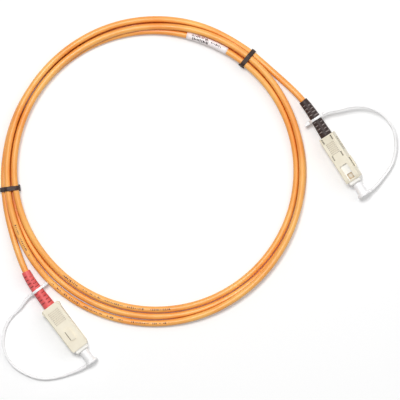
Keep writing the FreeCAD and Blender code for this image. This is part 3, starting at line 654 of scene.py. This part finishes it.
def jacket_material():
    """Extruded jacket with a faint draw grain, painted shade between its strands, and a printed line of
    plain marks.
    """
    made, tree, shader, coords = material("jacket_orange", JACKET_ROUGH)
    along, turn = along_and_round(tree, coords)
    drawn = add(tree, "ShaderNodeCombineXYZ", {"X": calc(tree, "MULTIPLY", along, JACKET_DRAW[0]),
                                               "Y": calc(tree, "MULTIPLY", turn, JACKET_DRAW[1])})
    stretches = 0.0
    for first, last in PRINT_STRETCHES:
        low = length_near(coil_point(first))
        high = length_near(coil_point(last))
        stretches = calc(tree, "ADD", inside_range(tree, along, low, high), stretches)
    group = calc(tree, "FRACT", calc(tree, "DIVIDE", along, PRINT_GROUP * MM))
    groups = calc(tree, "LESS_THAN", group, PRINT_GROUP_SHARE)
    marks = print_marks(tree, along, turn, PRINT_PITCH, PRINT_PLACE, PRINT_HALF_HEIGHT, PRINT_SEED)
    marks = calc(tree, "MULTIPLY", calc(tree, "MULTIPLY", marks, groups), stretches)
    body = clouds(tree, coords["Object"], JACKET_TONE_SCALE, *JACKET_TONES)
    # Painted shade deepens the jacket's colour in the gaps between strands, under the print
    body = inked(tree, marks, paint_hollow_light(tree, "jacket_orange", body), PRINT_INK)
    tree.links.new(body, shader.inputs["Base Color"])
    grain, depth = JACKET_GRAIN
    relief(tree, shader, noise(tree, drawn.outputs["Vector"], grain), depth)
    return made


def label_material():
    """Wrapped paper with rows of plain printed marks."""
    made, tree, shader, coords = material("label_white", LABEL_ROUGH)
    along, turn = along_and_round(tree, coords)
    body = clouds(tree, coords["Object"], LABEL_TONE_SCALE, *LABEL_TONES)
    for middle, half_height, start, end, pitch, ink in LABEL_ROWS:
        row = print_marks(tree, along, turn, pitch, middle, half_height, middle * LABEL_SEEDS)
        row = calc(tree, "MULTIPLY", row, inside_range(tree, along, start * MM, end * MM))
        body = inked(tree, row, body, ink)
    tree.links.new(body, shader.inputs["Base Color"])
    grain, depth = LABEL_GRAIN
    relief(tree, shader, noise(tree, coords["Object"], grain), depth)
    return made


finishes = {"jacket_orange": jacket_material(), "label_white": label_material()}
finishes.update({name: moulded(name) for name in MOULDED})


def dress(piece, finish):
    piece.data.materials.clear()
    piece.data.materials.append(finishes[finish])


def soften(piece, width):
    """Round the sharp edges of a moulded piece."""
    weld = piece.modifiers.new("weld", "WELD")
    weld.merge_threshold = WELD_REACH
    bevel = piece.modifiers.new("edges", "BEVEL")
    bevel.width = width * MM
    bevel.segments = BEVEL_SEGMENTS
    bevel.limit_method = "ANGLE"
    bevel.angle_limit = math.radians(BEVEL_ANGLE)
    bevel.harden_normals = True


for name, piece in nodes.items():
    start = max((key for key in NODE_FINISH if name.startswith(key)), key=len)
    dress(piece, NODE_FINISH[start])
    for key, width in EDGE_WIDTHS.items():
        if name.startswith(key):
            soften(piece, width)

# The cable, its label and the straps take the place of their plain solids
dress(cable, "jacket_orange")
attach(cable, "root")
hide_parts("cable")

label_low = length_near(coil_point(LABEL_PROGRESS)) - LABEL_LENGTH * MM / 2
label_ways = [LABEL_LENGTH * MM * step / LABEL_STEPS for step in range(LABEL_STEPS + 1)]
label_line = [cable_point(label_low + way) for way in label_ways]
wrap = wrap_section(LABEL_INSIDE * MM, LABEL_OUTSIDE * MM, LABEL_SIDES, math.radians(LABEL_LAP))
label = sweep("label_wrap", label_line, wrap)
dress(label, "label_white")
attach(label, "root")
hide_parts("label_sleeve")

strap_form = strap_section(STRAP_THICKNESS * MM, STRAP_HEIGHT * MM, STRAP_CORNER * MM, STRAP_CORNER_STEPS)
for colour in PLUGS:
    line = smooth_line(strap_points(colour))
    strap = sweep(f"strap_{colour}", line, strap_form)
    dress(strap, "tether_white")
    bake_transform(strap)
    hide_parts(f"tether_strap_{colour}")

# The boots are soft, and their rear halves turn aside with the cable
for colour in PLUGS:
    mesh = nodes[f"boot_{colour}"].data.copy()
    forward, left = plug_ways(colour)
    origin = plug_point(colour, 0)
    for vertex in mesh.vertices:
        place = (vertex.co - origin) / MM
        x, y = place.dot(forward), place.dot(left)
        along, aside, turn = boot_bend(colour, x)
        shift = forward * (along - y * math.sin(turn) - x) + left * (aside + y * math.cos(turn) - y)
        vertex.co += shift * MM
    boot = placed(f"boot_bent_{colour}", mesh)
    dress(boot, f"boot_{colour}")
    soften(boot, EDGE_WIDTHS["boot"])
    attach(boot, "root")
    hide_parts(f"boot_{colour}")

# The springs are swept as coils of wire in place of their plain solids
spring_steps = SPRING_TURNS * SPRING_STEPS
spring_shares = [step / spring_steps for step in range(spring_steps + 1)]
for colour in PLUGS:
    axis, line = [], []
    for share in spring_shares:
        x = SPRING_START + SPRING_LENGTH * share
        axis.append(plug_point(colour, x))
        line.append(plug_point(colour, x, SPRING_RADIUS, SPRING_ROLL + 360 * SPRING_TURNS * share))
    ups = [point - centre for point, centre in zip(line, axis)]
    coil = sweep(f"spring_coil_{colour}", line, round_section(WIRE_RADIUS * MM, WIRE_SIDES), ups)
    dress(coil, "spring_steel")
    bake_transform(coil)
    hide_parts(f"spring_{colour}")


# Floor, light and camera
def background_rays(tree):
    """1 on the rays that show the background, 0 on those that light the object."""
    kind = add(tree, "ShaderNodeLightPath").outputs
    seen = calc(tree, "MAXIMUM", kind["Is Camera Ray"], kind["Is Glossy Ray"])
    return calc(tree, "MAXIMUM", seen, kind["Is Transmission Ray"])


floor_mesh = bpy.data.meshes.new("floor")
corner_signs = ((-1, -1), (1, -1), (1, 1), (-1, 1))
floor_corners = [(x * FLOOR_REACH, y * FLOOR_REACH, FLOOR_HEIGHT) for x, y in corner_signs]
floor_mesh.from_pydata(floor_corners, [], [(0, 1, 2, 3)])
floor = placed("floor", floor_mesh)
floor_material = bpy.data.materials.new("floor")
floor_material.use_nodes = True
tree = floor_material.node_tree
shader = tree.nodes["Principled BSDF"]
shader.inputs["Base Color"].default_value = FLOOR_TONE
shader.inputs["Roughness"].default_value = FLOOR_ROUGH
shader.inputs["Specular IOR Level"].default_value = 0.0
shader.inputs["Emission Color"].default_value = WHITE
floor_place = add(tree, "ShaderNodeNewGeometry").outputs["Position"]
away = add(tree, "ShaderNodeVectorMath", {0: floor_place}, operation="LENGTH").outputs["Value"]
glow = remap(tree, away, *GLOW_RANGE, *GLOW_STRENGTHS)
tree.links.new(calc(tree, "MULTIPLY", background_rays(tree), glow), shader.inputs["Emission Strength"])
floor_mesh.materials.append(floor_material)

world = bpy.data.worlds.new("studio")
bpy.context.scene.world = world
world.use_nodes = True
tree = world.node_tree
sky = tree.nodes["Background"]
sky.inputs["Color"].default_value = WHITE
tree.links.new(calc(tree, "MAXIMUM", background_rays(tree), SKY_STRENGTH), sky.inputs["Strength"])

# Each lamp has its place, width and power, and is aimed at the middle
for name, (place, width, power) in LAMPS.items():
    light = bpy.data.lights.new(name, "AREA")
    light.size = width
    light.energy = power
    lamp = placed(name, light)
    lamp.location = place
    lamp.rotation_euler = (-Vector(place)).to_track_quat("-Z", "Y").to_euler()

view = bpy.data.cameras.new("view")
view.sensor_width = SENSOR_WIDTH
view.lens = SENSOR_WIDTH * VIEW_DISTANCE / VIEW_WIDTH
view.clip_start = CAMERA_NEAR
camera = placed("view", view)
camera.location = CAMERA_PLACE
bpy.context.scene.camera = camera
bpy.context.scene.view_settings.view_transform = "Standard"
